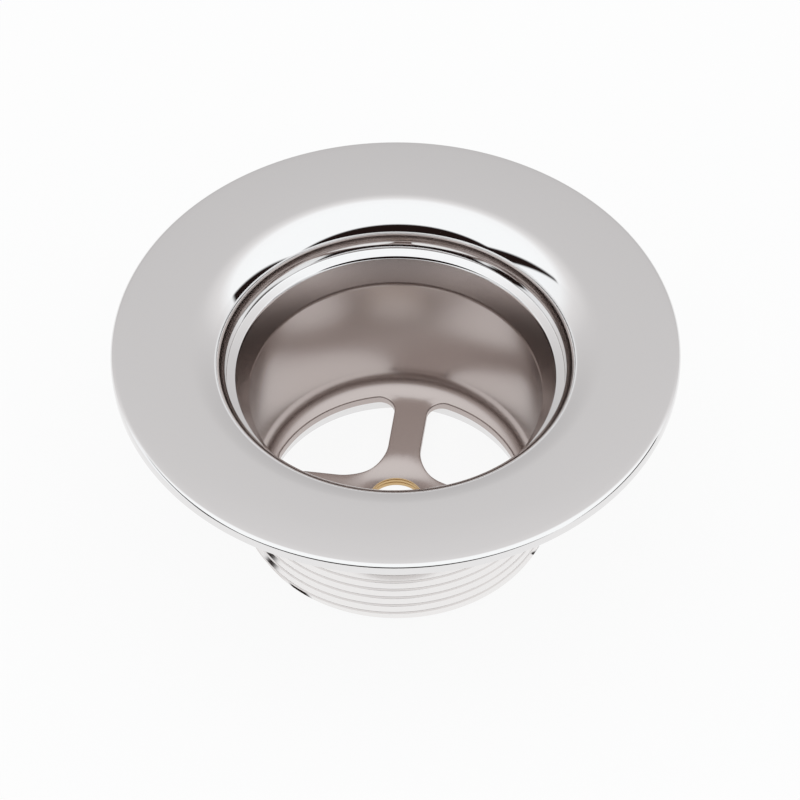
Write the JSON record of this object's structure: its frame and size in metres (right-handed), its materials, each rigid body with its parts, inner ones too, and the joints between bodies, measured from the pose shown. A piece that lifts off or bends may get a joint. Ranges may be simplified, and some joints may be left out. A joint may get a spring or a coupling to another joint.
{
  "type": "bath strainer",
  "caption": "Flanged bath waste strainer with a rolled lip, stopper seat, crossed floor, tapped hub and threaded tail.",
  "frame": {"origin": "on the axis at the tail's end, which is also the end of the hub's neck", "axes": "+Z along the axis from the tail up to the flange; the spokes of the floor lie along X and Y"},
  "size_m": [0.073, 0.073, 0.0322],
  "materials": {
    "bright_plate": "bright plating over brass, mirror smooth on the face and lip, duller inside the bore"
  },
  "bodies": {
    "root": {"strainer_body": "bright_plate"}
  },
  "joints": []
}
